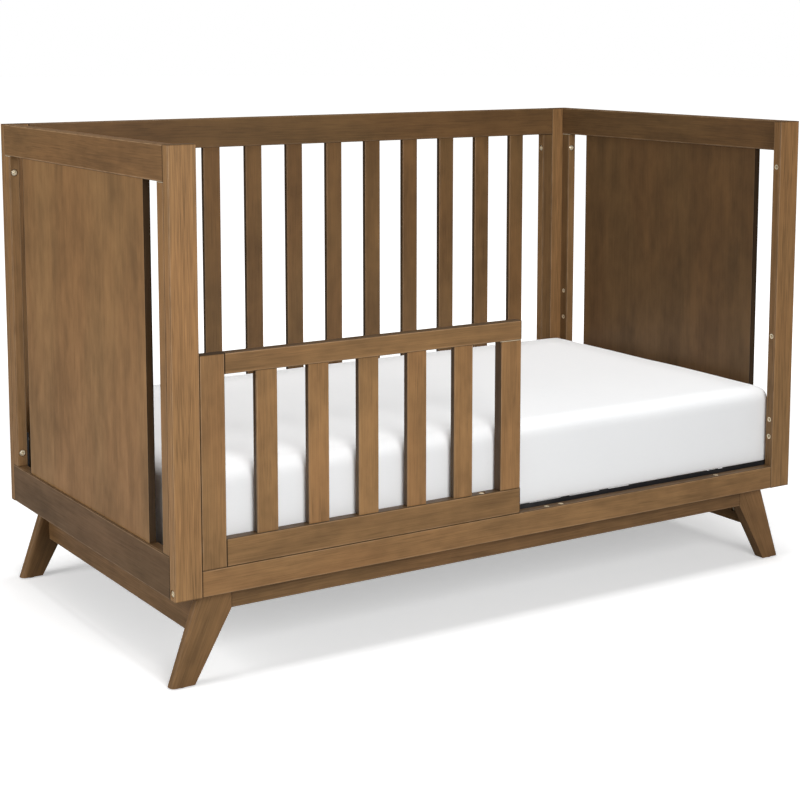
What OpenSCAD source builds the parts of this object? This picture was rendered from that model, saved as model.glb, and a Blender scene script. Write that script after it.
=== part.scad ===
// Convertible baby crib in its toddler-bed form: two panelled ends, a slatted back,
// a low front rail with a half-length guard rail, a splayed leg base, a hook-on
// sprung mattress support and a mattress.
// Millimetres, +Z up, +X along the length, -Y is the open front. The origin is on
// the floor at the centre of the footprint.

/* [Crib] */
// Outer length over the two ends
crib_length = 1372; // [1300:1:1450]
// Outer depth over the front and rear posts
crib_depth = 752; // [730:1:790]
// Overall height above the floor
crib_height = 895; // [820:1:960]
// Height of the underside of the body above the floor
base_height = 155; // [130:1:190]

/* [Boards] */
// Thickness of the rails, stiles and end frames
board = 20; // [18:1:24]
// Width of a corner post
post_w = 50; // [44:1:60]
// Thickness of a corner post
post_t = 19; // [18:1:22]
// Height of the top rails
top_rail_h = 60; // [45:1:80]
// Height of the bottom rail of an end frame
end_bottom_h = 73; // [60:1:90]
// Height of the low front rail and of the bottom rail of the back
low_rail_h = 45; // [38:1:60]
// Width of the stiles of an end frame
end_stile_w = 24; // [20:1:40]
// Thickness of the end panels
panel_t = 12; // [9:1:15]
// Open gap between an end panel and each stile
panel_gap = 60; // [40:1:60]
// Depth of the grooves that hold the panels and slats
groove = 8; // [5:1:10]

/* [Back frame] */
// Number of back slats
back_slats = 12; // [10:1:13]
// Width of a back slat
back_slat_w = 38; // [30:1:42]
// Thickness of the slats
slat_t = 13; // [10:1:14]
// Distance between the centres of neighbouring back slats
back_pitch = 97.4; // [90:0.1:98]
// Width of the stiles of the back frame
back_stile_w = 26; // [20:1:32]

/* [Guard rail] */
// Length of the guard rail
guard_length = 641; // [560:1:680]
// Height of the guard rail above the low front rail
guard_h = 356; // [300:1:400]
// Height of its top rail
guard_top_h = 35; // [30:1:45]
// Height of its bottom rail
guard_bottom_h = 47; // [40:1:55]
// Width of its stiles
guard_stile_w = 45; // [38:1:50]
// Number of its slats
guard_slats = 5; // [4:1:5]
// Width of one of its slats
guard_slat_w = 40; // [34:1:42]

/* [Leg base] */
// Distance from the front or rear face of the body to the legs and aprons
base_inset = 21.5; // [15:0.5:40]
// Thickness of the legs and of the front and rear aprons
leg_t = 22.5; // [20:0.5:28]
// Width of a foot at the floor
foot_w = 43; // [36:1:50]
// Distance from the end of the body to the inner edge of a leg at its top
leg_reach = 112.5; // [105:0.5:118]
// Distance from the end of the body to the outer edge of a leg at its top
leg_lean = 54; // [45:0.5:57]
// Height of the front and rear aprons
apron_h = 33.5; // [28:0.5:45]
// Height of the end aprons
end_apron_h = 81; // [60:1:90]
// Distance from the end of the body to the outer face of an end apron
end_apron_inset = 59; // [57:1:62]

/* [Mattress and support] */
// Length of the mattress
mattress_l = 1311; // [1300:1:1314]
// Width of the mattress
mattress_w = 698; // [690:1:700]
// Thickness of the mattress
mattress_t = 150; // [100:1:152]
// Height of the underside of the mattress at the lowest setting
support_z = 206; // [204:1:215]
// Number of height settings of the mattress support
settings = 4; // [3:1:4]
// Vertical distance between neighbouring settings
setting_pitch = 62.3; // [50:0.1:63]
// Height of the highest row of setting holes
top_setting_z = 465.8; // [465:0.1:470]

/* [Fasteners] */
// Diameter of the machine screws
bolt_d = 6; // [5:0.5:6]
// Diameter of the low round bolt heads
head_d = 12; // [11:0.5:13]
// Diameter of the counterbores around the heads
counterbore_d = 14; // [13.5:0.5:15]
// Outer diameter of the threaded inserts
insert_d = 10; // [9:0.5:11]
// Length of the threaded inserts
insert_l = 14; // [12:1:15]

/* [Hidden] */

$fn = 32;
slack = 0.2;            // clearance of a loose-fitting piece
slot_fit = 0.3;         // gap between curved faces of different bodies
edge_round = 2;         // eased edges of the boards
x0 = -crib_length / 2;  // outer face of the left end
y0 = -crib_depth / 2;   // front face
y1 = crib_depth / 2;
z0 = base_height;       // underside of the body
z1 = crib_height;
body_h = z1 - z0;
end_len = crib_depth - 2 * post_t;          // an end frame fits between the posts
end_y0 = y0 + post_t;
stile_h = body_h - top_rail_h - end_bottom_h;
panel_w = end_len - 2 * (end_stile_w + panel_gap);
back_len = crib_length - 2 * post_w;
back_x0 = x0 + post_w;
back_y0 = y1 - board;                       // front face of the back frame
back_h = body_h - top_rail_h - low_rail_h;  // clear height between its rails
guard_x0 = x0 + post_w;
guard_z0 = z0 + low_rail_h;
guard_clear = guard_length - 2 * guard_stile_w;
guard_slat_gap = (guard_clear - guard_slats * guard_slat_w) / (guard_slats + 1);
slat_y = (board - slat_t) / 2;              // slats sit in the middle of the rails

// Heights of the bolts that join the frames to the posts
bolt_rows = [z0 + 99, z1 - 92];
// Heights of the inserts that would hold a full-height front side
front_side_rows = [z0 + 105, z1 - 90];
// Heights of the two bolts that hold the guard rail to its post
guard_bolt_rows = [z0 + 140, z0 + 310];
// Places along the low rail for the pins and the bolt of the guard, from its end
guard_pin_x = [191.4, 579.2];
guard_bolt_x = 612;
head_h = 3;
head_sink = 3.5;        // a head lies just under the surface
socket_d = 4.6;
shank_d = bolt_d - slack;
bore_d = bolt_d + 0.6;
low_bolt_z = z0 + 13;   // height of the bolts into the low front rail
end_bolt_x = 10;        // from the end of the body to the bolts through the stiles
plate = 100;            // side of a corner plate
plate_t = 18;
plate_screw_d = 4;
glide_d = 16;
glide_h = 2;
glide_pin_d = 3;
pin_rise = 12;          // how far the locating pins stand up into the guard

hanger_t = 3;
hanger_w = 22;
hanger_play = 0.5;      // between a hanger and the stile
hook_z = top_setting_z - (settings - 1) * setting_pitch;
end_hole_y = post_t + end_stile_w / 2;      // middle of an end stile, from the face
support_bar = 22;       // leg of the angle steel
support_steel = 2;
wire_d = 3;
long_wires = 8;
cross_wires = 14;
spring_d = 9;
spring_len = 40;

beech = [0.50, 0.37, 0.25];
beech_light = [0.57, 0.43, 0.30];
veneer = [0.44, 0.33, 0.22];
steel = [0.35, 0.35, 0.36];
nickel = [0.80, 0.76, 0.66];
sheet_white = [0.95, 0.95, 0.94];

// ---------- shared shapes ----------

// A board with eased long edges, lying along axis "x", "y" or "z"
module board_piece(size, along) {
    if (along == "x")
        rotate([90, 0, 90])
            linear_extrude(size[0]) eased(size[1], size[2]);
    if (along == "y")
        translate([0, size[1], 0]) rotate([90, 0, 0])
            linear_extrude(size[1]) eased(size[0], size[2]);
    if (along == "z")
        linear_extrude(size[2]) eased(size[0], size[1]);
}

// A rectangle from the origin with its four corners rounded
module eased(w, h, r = edge_round) {
    union() {
        translate([r, 0]) square([w - 2 * r, h]);
        translate([0, r]) square([w, h - 2 * r]);
        for (x = [r, w - r], y = [r, h - r]) translate([x, y]) circle(r);
    }
}

// A bolt that points along -Z, with the top of its low round head at the origin
module bolt(length) {
    difference() {
        union() {
            translate([0, 0, -head_h]) cylinder(d = head_d, h = head_h);
            translate([0, 0, -length]) cylinder(d = shank_d, h = length - 1);
        }
        translate([0, 0, -2]) cylinder(d = socket_d, h = 3, $fn = 6);
    }
}

// A bolt whose head lies in a counterbore of the surface at the origin
module sunk_bolt(length) {
    translate([0, 0, head_h - head_sink]) bolt(length);
}

// The hole for such a bolt: counterbore and clearance bore, from the surface down
module bolt_hole(depth) {
    translate([0, 0, -head_sink]) cylinder(d = counterbore_d, h = head_sink + 1);
    translate([0, 0, -depth]) cylinder(d = bore_d, h = depth);
}

// The hole for a threaded insert, from the surface down
module insert_hole() {
    translate([0, 0, -insert_l]) cylinder(d = insert_d, h = insert_l + 1);
}

// A threaded insert in that hole
module insert() {
    translate([0, 0, -insert_l]) difference() {
        cylinder(d = insert_d, h = insert_l - 0.3);
        translate([0, 0, -1]) cylinder(d = bolt_d, h = insert_l + 2);
    }
}

// Turn a shape that points along -Z so that it points along the named direction
module toward(dir) {
    if (dir == "+x") rotate([0, -90, 0]) children();
    if (dir == "-x") rotate([0, 90, 0]) children();
    if (dir == "+y") rotate([90, 0, 0]) children();
    if (dir == "-y") rotate([-90, 0, 0]) children();
    if (dir == "-z") children();
    if (dir == "+z") rotate([180, 0, 0]) children();
}

// side = -1 for the left half, 1 for the right half; draws the left half's shape
module for_side(side) {
    if (side < 0) children();
    else mirror([1, 0, 0]) children();
}

// end = -1 for the front, 1 for the rear; draws the front's shape
module for_end(end) {
    if (end < 0) children();
    else mirror([0, 1, 0]) children();
}

// ---------- posts ----------

// Copies its child to the inserts in the edge face of a front post
module at_front_post_inserts() {
    for (z = concat(front_side_rows, guard_bolt_rows))
        translate([x0 + post_w, y0 + post_t / 2, z]) toward("-x") children();
}

// Copies its child to the inserts that hold the end frame, in the face of a post
module at_post_end_inserts() {
    for (z = bolt_rows)
        translate([x0 + end_bolt_x, y0 + post_t, z]) toward("-y") children();
}

// Copies its child to the inserts that hold the back frame, in the edge of a rear post
module at_rear_post_inserts() {
    for (z = bolt_rows)
        translate([x0 + post_w, y1 - post_t / 2, z]) toward("-x") children();
}

module post_front() {
    difference() {
        translate([x0, y0, z0]) board_piece([post_w, post_t, body_h], "z");
        at_front_post_inserts() insert_hole();
        at_post_end_inserts() insert_hole();
        translate([x0, y0 + post_t / 2, low_bolt_z]) toward("+x") bolt_hole(post_w + 1);
    }
}

module post_rear() {
    difference() {
        translate([x0, y1 - post_t, z0]) board_piece([post_w, post_t, body_h], "z");
        for_end(1) at_post_end_inserts() insert_hole();
        at_rear_post_inserts() insert_hole();
    }
}

module post_front_left() { color(beech_light) for_side(-1) post_front(); }
module post_front_right() { color(beech_light) for_side(1) post_front(); }
module post_rear_left() { color(beech_light) for_side(-1) post_rear(); }
module post_rear_right() { color(beech_light) for_side(1) post_rear(); }

// ---------- end frames ----------

// The groove of the panel, cut along a rail, open towards the panel
module panel_groove(z) {
    translate([x0 + (board - panel_t) / 2, -panel_w / 2, z])
        cube([panel_t, panel_w, groove]);
}

module end_top_rail() {
    difference() {
        translate([x0, end_y0, z1 - top_rail_h])
            board_piece([board, end_len, top_rail_h], "y");
        panel_groove(z1 - top_rail_h);
    }
}

module end_bottom_rail() {
    difference() {
        translate([x0, end_y0, z0]) board_piece([board, end_len, end_bottom_h], "y");
        panel_groove(z0 + end_bottom_h - groove);
    }
}

// Copies its child to the setting holes in the inner face of an end stile
module at_setting_holes() {
    for (i = [0:settings - 1])
        translate([x0 + board, y0 + end_hole_y, hook_z + i * setting_pitch])
            toward("-x") children();
}

// Copies its child to the bolts through an end stile into the post
module at_end_bolts() {
    for (z = bolt_rows)
        translate([x0 + end_bolt_x, end_y0 + end_stile_w, z]) toward("-y") children();
}

// A stile of an end frame: bolted to the post, with the column of setting holes
module end_stile() {
    difference() {
        translate([x0, end_y0, z0 + end_bottom_h])
            board_piece([board, end_stile_w, stile_h], "z");
        at_end_bolts() bolt_hole(end_stile_w + 1);
        at_setting_holes() insert_hole();
    }
}

module end_panel() {
    translate([x0 + (board - panel_t) / 2, -panel_w / 2, z0 + end_bottom_h - groove])
        cube([panel_t, panel_w, stile_h + 2 * groove]);
}

module end_left_top_rail() { color(beech) for_side(-1) end_top_rail(); }
module end_left_bottom_rail() { color(beech) for_side(-1) end_bottom_rail(); }
module end_left_front_stile() { color(beech) for_side(-1) end_stile(); }
module end_left_rear_stile() { color(beech) for_side(-1) for_end(1) end_stile(); }
module end_left_panel() { color(veneer) for_side(-1) end_panel(); }
module end_right_top_rail() { color(beech) for_side(1) end_top_rail(); }
module end_right_bottom_rail() { color(beech) for_side(1) end_bottom_rail(); }
module end_right_front_stile() { color(beech) for_side(1) end_stile(); }
module end_right_rear_stile() { color(beech) for_side(1) for_end(1) end_stile(); }
module end_right_panel() { color(veneer) for_side(1) end_panel(); }

// ---------- back frame ----------

// The mortises of the back slats in a rail, starting at height z
module back_mortises(z) {
    for (i = [0:back_slats - 1])
        translate([(i - (back_slats - 1) / 2) * back_pitch - back_slat_w / 2,
                   back_y0 + slat_y, z])
            cube([back_slat_w, slat_t, groove]);
}

module back_top_rail() {
    color(beech) difference() {
        translate([back_x0, back_y0, z1 - top_rail_h])
            board_piece([back_len, board, top_rail_h], "x");
        back_mortises(z1 - top_rail_h);
    }
}

module back_bottom_rail() {
    color(beech) difference() {
        translate([back_x0, back_y0, z0]) board_piece([back_len, board, low_rail_h], "x");
        back_mortises(z0 + low_rail_h - groove);
    }
}

// Copies its child to the bolts through a back stile into the rear post
module at_frame_bolts() {
    for (z = bolt_rows)
        translate([back_x0 + back_stile_w, y1 - post_t / 2, z]) toward("-x") children();
}

module back_stile() {
    difference() {
        translate([back_x0, back_y0, z0 + low_rail_h])
            board_piece([back_stile_w, board, back_h], "z");
        at_frame_bolts() bolt_hole(back_stile_w + 1);
    }
}

module back_left_stile() { color(beech) for_side(-1) back_stile(); }
module back_right_stile() { color(beech) for_side(1) back_stile(); }

// A slat: a plain eased board with its ends let into the rails
module slat(w, clear_h) {
    linear_extrude(clear_h + 2 * groove) eased(w, slat_t, 2.5);
}

// Back slats number "first" to "last", counted from the left
module back_slat_row(first, last) {
    color(beech)
    for (i = [first:last])
        translate([(i - (back_slats - 1) / 2) * back_pitch - back_slat_w / 2,
                   back_y0 + slat_y, z0 + low_rail_h - groove])
            slat(back_slat_w, back_h);
}

back_third = floor(back_slats / 3);
module back_slats_left() { back_slat_row(0, back_third - 1); }
module back_slats_middle() { back_slat_row(back_third, 2 * back_third - 1); }
module back_slats_right() { back_slat_row(2 * back_third, back_slats - 1); }

// ---------- front: low rail and guard rail ----------

low_nut_reach = 25;     // from the post to the barrel nut in the low rail

// Copies its child to the vertical inserts in the top of the left half of the low rail
module at_low_inserts() {
    for (x = concat(guard_pin_x, [guard_bolt_x]))
        translate([x0 + x, y0 + board / 2, guard_z0]) children();
}

// The end bore of the low rail and the cross bore of its barrel nut
module low_nut_bores() {
    translate([back_x0 - 1, y0 + post_t / 2, low_bolt_z])
        rotate([0, 90, 0]) cylinder(d = bore_d, h = low_nut_reach + 12);
    translate([back_x0 + low_nut_reach, y0 + 3, low_bolt_z])
        rotate([-90, 0, 0]) cylinder(d = insert_d, h = board);
}

module low_front_rail() {
    color(beech_light) difference() {
        translate([back_x0, y0, z0]) board_piece([back_len, board, low_rail_h], "x");
        for (side = [-1, 1]) for_side(side) {
            at_low_inserts() insert_hole();
            low_nut_bores();
        }
    }
}

// Copies its child to the foot of slat number i of the guard, counted from the post
module at_guard_slat(i, z) {
    translate([guard_x0 + guard_stile_w + guard_slat_gap
               + (i - 1) * (guard_slat_w + guard_slat_gap), y0 + slat_y, z])
        children();
}

guard_slat_h = guard_h - guard_top_h - guard_bottom_h;

module guard_mortises(z) {
    for (i = [1:guard_slats])
        at_guard_slat(i, z) cube([guard_slat_w, slat_t, groove]);
}

module guard_top_rail() {
    z = guard_z0 + guard_h - guard_top_h;
    color(beech_light) difference() {
        translate([guard_x0 + guard_stile_w, y0, z])
            board_piece([guard_length - guard_stile_w, board, guard_top_h], "x");
        guard_mortises(z);
    }
}

module guard_bottom_rail() {
    color(beech_light) difference() {
        translate([guard_x0 + guard_stile_w, y0, guard_z0])
            board_piece([guard_length - guard_stile_w, board, guard_bottom_h], "x");
        guard_mortises(guard_z0 + guard_bottom_h - groove);
        translate([x0 + guard_bolt_x, y0 + board / 2, guard_z0 + guard_bottom_h])
            bolt_hole(guard_bottom_h + 1);
        for (x = guard_pin_x)
            translate([x0 + x, y0 + board / 2, guard_z0 - 1])
                cylinder(d = bore_d, h = pin_rise + 2);
    }
}

// Copies its child to the bolts through the stile of the guard into the post
module at_guard_post_bolts() {
    for (z = guard_bolt_rows)
        translate([guard_x0 + guard_stile_w, y0 + post_t / 2, z]) toward("-x") children();
}

// The full-height stile that is bolted to the corner post
module guard_post_stile() {
    color(beech_light) difference() {
        translate([guard_x0, y0, guard_z0]) board_piece([guard_stile_w, board, guard_h], "z");
        at_guard_post_bolts() bolt_hole(guard_stile_w + 1);
    }
}

// The stile at the free end, held between the two rails
module guard_free_stile() {
    color(beech_light)
        translate([guard_x0 + guard_length - guard_stile_w, y0, guard_z0 + guard_bottom_h])
            board_piece([guard_stile_w, board, guard_slat_h], "z");
}

module guard_slat(i) {
    color(beech) at_guard_slat(i, guard_z0 + guard_bottom_h - groove)
        slat(guard_slat_w, guard_slat_h);
}

// ---------- leg base ----------

leg_y0 = y0 + base_inset;
leg_y1 = leg_y0 + leg_t;
leg_round = 9;          // rounded outer edge of a leg
foot_out = 1;           // from the end of the body to the outer edge of a foot
foot_mid = foot_out + foot_w / 2;
apron_bolt_z = base_height - 57.5;
apron_nut_reach = 32;   // from the leg to the barrel nut in the end apron
nut_bore_start = 3;     // from the outer face of the end apron to its nut's blind bore
end_apron_mid = end_apron_inset + board / 2;

// Outline of a left leg, measured from the end of the body: splayed foot, upright head
module leg_outline() {
    polygon([[foot_out, glide_h], [foot_out + foot_w, glide_h],
             [leg_reach, base_height - apron_h],
             [leg_reach, base_height], [leg_lean, base_height]]);
}

// What the rounding takes off a long edge that stands at the origin
module edge_waste(length) {
    difference() {
        translate([-leg_round, -leg_round, 0])
            cube([2 * leg_round, 2 * leg_round, length]);
        translate([leg_round, leg_round, -1]) cylinder(r = leg_round, h = length + 2);
    }
}

// A left front leg; its leaning outer edge is rounded over on both sides
module leg_shape() {
    lean = atan2(leg_lean - foot_out, base_height - glide_h);
    difference() {
        translate([x0, leg_y1, 0]) rotate([90, 0, 0]) linear_extrude(leg_t) leg_outline();
        for (y = [0, 1])
            translate([x0 + foot_out, leg_y0 + y * leg_t, glide_h]) rotate([0, lean, 0])
                mirror([0, y, 0]) translate([0, 0, -20]) edge_waste(base_height + 40);
        translate([x0 + end_apron_mid, leg_y1 + 1, apron_bolt_z])
            rotate([90, 0, 0]) cylinder(d = bolt_d, h = 17);
        translate([x0 + foot_mid, leg_y0 + leg_t / 2, 0])
            cylinder(d = glide_pin_d + slack, h = 13);
    }
}

module leg_front_left() { color(beech_light) leg_shape(); }
module leg_front_right() { color(beech_light) for_side(1) leg_shape(); }
module leg_rear_left() { color(beech_light) for_end(1) leg_shape(); }
module leg_rear_right() { color(beech_light) for_side(1) for_end(1) leg_shape(); }

module long_apron() {
    length = crib_length - 2 * leg_reach;
    translate([-length / 2, leg_y0, base_height - apron_h])
        board_piece([length, leg_t, apron_h], "x");
}

// Between the legs of one end; each end of it holds a stud and a barrel nut
module end_apron() {
    length = crib_depth - 2 * (base_inset + leg_t);
    difference() {
        translate([x0 + end_apron_inset, -length / 2, base_height - end_apron_h])
            board_piece([board, length, end_apron_h], "y");
        for (end = [-1, 1]) for_end(end) {
            translate([x0 + end_apron_mid, leg_y1 - 1, apron_bolt_z])
                rotate([-90, 0, 0]) cylinder(d = bore_d, h = apron_nut_reach + 8);
            translate([x0 + end_apron_inset + nut_bore_start, leg_y1 + apron_nut_reach,
                    apron_bolt_z])
                rotate([0, 90, 0]) cylinder(d = insert_d, h = board);
        }
    }
}

module front_apron() { color(beech) long_apron(); }
module rear_apron() { color(beech) for_end(1) long_apron(); }
module left_end_apron() { color(beech) end_apron(); }
module right_end_apron() { color(beech) for_side(1) end_apron(); }

// Places of the screws of a corner plate, from the corner of the body: two go down
// into the head of the leg and two into the end apron
plate_screw_places = [[68, 33], [92, 33], [69, 70], [69, 100]];

// Copies its child to the upper end of each screw of the four corner plates
module at_plate_screws() {
    for (side = [-1, 1], end = [-1, 1]) for_side(side) for_end(end)
        for (p = plate_screw_places)
            translate([x0 + p[0], y0 + p[1], base_height + plate_t]) children();
}

// Plywood squares glued into the corners of the body, which the leg base hangs from
module corner_plates() {
    color(veneer) difference() {
        for (side = [-1, 1], end = [-1, 1]) for_side(side) for_end(end)
            translate([x0 + board, y0 + board, base_height]) cube([plate, plate, plate_t]);
        at_plate_screws() translate([0, 0, -plate_t - 1])
            cylinder(d = plate_screw_d + slack, h = plate_t + 2);
    }
}

module foot_glides() {
    color("dimgray")
    for (side = [-1, 1], end = [-1, 1]) for_side(side) for_end(end)
        translate([x0 + foot_mid, leg_y0 + leg_t / 2, 0]) {
            cylinder(d = glide_d, h = glide_h);
            cylinder(d = glide_pin_d, h = 12);
        }
}

// ---------- mattress support ----------

support_top = support_z - slot_fit;
support_low = support_top - support_bar;
hanger_x = x0 + board + hanger_play;
hanger_y = y0 + end_hole_y;
frame_x0 = hanger_x + hanger_t + 5.5;       // the frame passes clear of the bolt heads
frame_y0 = y0 + board + 5;
frame_l = -2 * frame_x0;
frame_w = -2 * frame_y0;

// An angle-steel frame: the upright leg outside, the flat leg at the bottom
module support_frame() {
    opening = [frame_l - 2 * support_bar, frame_w - 2 * support_bar];
    color(steel) difference() {
        translate([frame_x0, frame_y0, support_low]) cube([frame_l, frame_w, support_bar]);
        translate([frame_x0 + support_steel, frame_y0 + support_steel,
                   support_low + support_steel])
            cube([frame_l - 2 * support_steel, frame_w - 2 * support_steel, support_bar]);
        translate([frame_x0 + support_bar, frame_y0 + support_bar, support_low - 1])
            cube([opening[0], opening[1], support_bar]);
    }
}

// A hanger plate welded to the end of the frame. The slot over the bolt is open at
// the bottom, so that the support lifts straight off its four bolts
module hanger() {
    slot_w = bolt_d + 2 * slot_fit;
    wide = 45;
    foot_gap = 8;       // from the bolt's axis to the foot, clear of the head
    difference() {
        union() {
            translate([hanger_x, hanger_y - hanger_w / 2, support_low])
                cube([hanger_t, hanger_w, hook_z + 14 - support_low]);
            translate([hanger_x, hanger_y, support_low]) cube([hanger_t, wide, support_bar]);
            translate([hanger_x, hanger_y + foot_gap, support_low])
                cube([frame_x0 - hanger_x, wide - foot_gap, support_bar]);
        }
        translate([hanger_x - 1, hanger_y - slot_w / 2, support_low - 1])
            cube([hanger_t + 2, slot_w, hook_z - support_low + 1]);
        translate([hanger_x - 1, hanger_y, hook_z])
            rotate([0, 90, 0]) cylinder(d = slot_w, h = hanger_t + 2);
    }
}

module support_hangers() {
    color(steel)
    for (side = [-1, 1], end = [-1, 1]) for_side(side) for_end(end) hanger();
}

// The wire mat: long wires lie on cross wires, inside a gap that the springs span
mat_gap = spring_len + support_steel;
mat_l = frame_l - 2 * mat_gap;
mat_w = frame_w - 2 * mat_gap;
long_z = support_top - wire_d / 2;
cross_z = long_z - wire_d;

function spread(count, width) =
    [for (i = [0:count - 1]) (i / (count - 1) - 0.5) * (width - 2 * wire_d)];

module support_wires() {
    color(steel) {
        for (y = spread(long_wires, mat_w))
            translate([-mat_l / 2, y, long_z]) rotate([0, 90, 0]) cylinder(d = wire_d, h = mat_l);
        for (x = spread(cross_wires, mat_l))
            translate([x, -mat_w / 2, cross_z]) rotate([-90, 0, 0]) cylinder(d = wire_d, h = mat_w);
    }
}

// The springs between the mat and the upright legs of the frame, drawn as their
// outer envelopes
module support_springs() {
    spring_z = support_top - spring_d / 2;
    color(steel)
    for (side = [-1, 1]) {
        for_side(side)
            for (y = spread(long_wires, mat_w))
                translate([-mat_l / 2 - spring_len, y, spring_z])
                    rotate([0, 90, 0]) cylinder(d = spring_d, h = spring_len);
        for_end(side)
            for (x = spread(cross_wires, mat_l))
                translate([x, -mat_w / 2 - spring_len, spring_z])
                    rotate([-90, 0, 0]) cylinder(d = spring_d, h = spring_len);
    }
}

// ---------- fasteners ----------

// Shoulder bolts in the lowest setting holes, with the hangers hooked over them
module support_bolts() {
    standing = hanger_play + hanger_t + 0.4 + head_h;
    color(nickel)
    for (side = [-1, 1], end = [-1, 1]) for_side(side) for_end(end)
        translate([x0 + board + standing, hanger_y, hook_z])
            toward("-x") bolt(standing + 12);
}

module frame_bolts() {
    color(nickel)
    for (side = [-1, 1]) for_side(side) at_frame_bolts() sunk_bolt(back_stile_w + 12);
}

module end_bolts() {
    color(nickel)
    for (side = [-1, 1], end = [-1, 1]) for_side(side) for_end(end)
        at_end_bolts() sunk_bolt(end_stile_w + 12);
}

module low_rail_bolts() {
    color(nickel)
    for (side = [-1, 1]) for_side(side)
        translate([x0, y0 + post_t / 2, low_bolt_z])
            toward("+x") sunk_bolt(post_w + low_nut_reach + 8);
}

module guard_bolts() {
    color(nickel) {
        at_guard_post_bolts() sunk_bolt(guard_stile_w + 12);
        translate([x0 + guard_bolt_x, y0 + board / 2, guard_z0 + guard_bottom_h])
            sunk_bolt(guard_bottom_h + 12);
    }
}

// Pins screwed into two inserts of the low rail, which locate the guard
module guard_pins() {
    color(nickel)
    for (x = guard_pin_x)
        translate([x0 + x, y0 + board / 2, guard_z0 - 11])
            cylinder(d = shank_d, h = 11 + pin_rise);
}

// Studs screwed into the legs, which run into the barrel nuts of the end aprons
module apron_bolts() {
    color(nickel)
    for (side = [-1, 1], end = [-1, 1]) for_side(side) for_end(end)
        translate([x0 + end_apron_mid, leg_y1 - 15, apron_bolt_z])
            rotate([-90, 0, 0]) cylinder(d = shank_d, h = 15 + apron_nut_reach + 6);
}

// A barrel nut that lies along Z from the origin, with its thread across it
module barrel_nut(length) {
    difference() {
        cylinder(d = insert_d - slack, h = length);
        translate([0, 0, length / 2]) rotate([90, 0, 0])
            cylinder(d = bolt_d, h = insert_d + 2, center = true);
    }
}

module barrel_nuts() {
    nut_l = 13;
    color(nickel)
    for (side = [-1, 1]) for_side(side) {
        translate([back_x0 + low_nut_reach, y0 + post_t / 2 - nut_l / 2, low_bolt_z])
            rotate([-90, 0, 0]) rotate([0, 0, 90]) barrel_nut(nut_l);
        for (end = [-1, 1]) for_end(end)
            translate([x0 + end_apron_mid - nut_l / 2, leg_y1 + apron_nut_reach, apron_bolt_z])
                rotate([0, 90, 0]) barrel_nut(nut_l);
    }
}

module plate_screws() {
    color(nickel) at_plate_screws() {
        translate([0, 0, -plate_t - 20]) cylinder(d = plate_screw_d, h = plate_t + 20.5);
        cylinder(d = 8, h = 2);
    }
}

module threaded_inserts() {
    color(nickel)
    for (side = [-1, 1]) for_side(side) {
        at_front_post_inserts() insert();
        at_rear_post_inserts() insert();
        at_low_inserts() insert();
        for (end = [-1, 1]) for_end(end) {
            at_post_end_inserts() insert();
            at_setting_holes() insert();
        }
    }
}

// ---------- mattress ----------

mattress_corner = 40;

module mattress() {
    color(sheet_white)
        translate([-mattress_l / 2, -mattress_w / 2, support_z])
            linear_extrude(mattress_t) eased(mattress_l, mattress_w, mattress_corner);
}

// ---------- what is drawn ----------

post_front_left();
post_front_right();
post_rear_left();
post_rear_right();
end_left_top_rail();
end_left_bottom_rail();
end_left_front_stile();
end_left_rear_stile();
end_left_panel();
end_right_top_rail();
end_right_bottom_rail();
end_right_front_stile();
end_right_rear_stile();
end_right_panel();
back_top_rail();
back_bottom_rail();
back_left_stile();
back_right_stile();
back_slats_left();
back_slats_middle();
back_slats_right();
low_front_rail();
guard_top_rail();
guard_bottom_rail();
guard_post_stile();
guard_free_stile();
for (i = [1:guard_slats]) guard_slat(i);
leg_front_left();
leg_front_right();
leg_rear_left();
leg_rear_right();
front_apron();
rear_apron();
left_end_apron();
right_end_apron();
corner_plates();
foot_glides();
support_frame();
support_hangers();
support_wires();
support_springs();
support_bolts();
frame_bolts();
end_bolts();
low_rail_bolts();
guard_bolts();
guard_pins();
apron_bolts();
barrel_nuts();
plate_screws();
threaded_inserts();
mattress();
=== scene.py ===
import math

import bmesh
import bpy
import numpy as np
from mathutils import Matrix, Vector


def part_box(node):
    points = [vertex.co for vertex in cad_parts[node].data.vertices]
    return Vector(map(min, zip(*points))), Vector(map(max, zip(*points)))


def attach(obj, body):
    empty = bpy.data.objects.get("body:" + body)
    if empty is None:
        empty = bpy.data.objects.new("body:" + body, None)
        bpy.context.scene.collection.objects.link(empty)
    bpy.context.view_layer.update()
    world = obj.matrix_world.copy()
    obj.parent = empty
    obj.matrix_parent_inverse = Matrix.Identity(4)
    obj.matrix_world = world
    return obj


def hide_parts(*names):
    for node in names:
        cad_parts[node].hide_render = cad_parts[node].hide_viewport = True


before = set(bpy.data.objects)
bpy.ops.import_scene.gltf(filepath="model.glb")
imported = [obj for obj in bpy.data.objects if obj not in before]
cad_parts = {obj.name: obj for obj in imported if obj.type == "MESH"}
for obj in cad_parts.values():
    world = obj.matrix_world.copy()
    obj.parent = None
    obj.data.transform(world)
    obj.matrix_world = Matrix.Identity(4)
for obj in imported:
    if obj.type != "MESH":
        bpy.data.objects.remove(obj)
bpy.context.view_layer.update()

# ---------------------------------------------------------------- corner posts
# Four solid beech posts, 50 by 19 mm. They are planed, their long edges eased,
# wiped with a walnut-brown stain and sprayed with satin lacquer. The grain runs up.


def feed(tree, target, term):
    """Feeds one input of a node from a socket, or sets it."""
    if isinstance(term, bpy.types.NodeSocket):
        tree.links.new(term, target)
    else:
        target.default_value = term


def place(tree, kind, feeds=(), **settings):
    """A new node, with some of its properties set and some of its inputs fed."""
    made = tree.nodes.new(kind)
    for name, value in settings.items():
        setattr(made, name, value)
    for name, term in dict(feeds).items():
        feed(tree, made.inputs[name], term)
    return made


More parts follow.
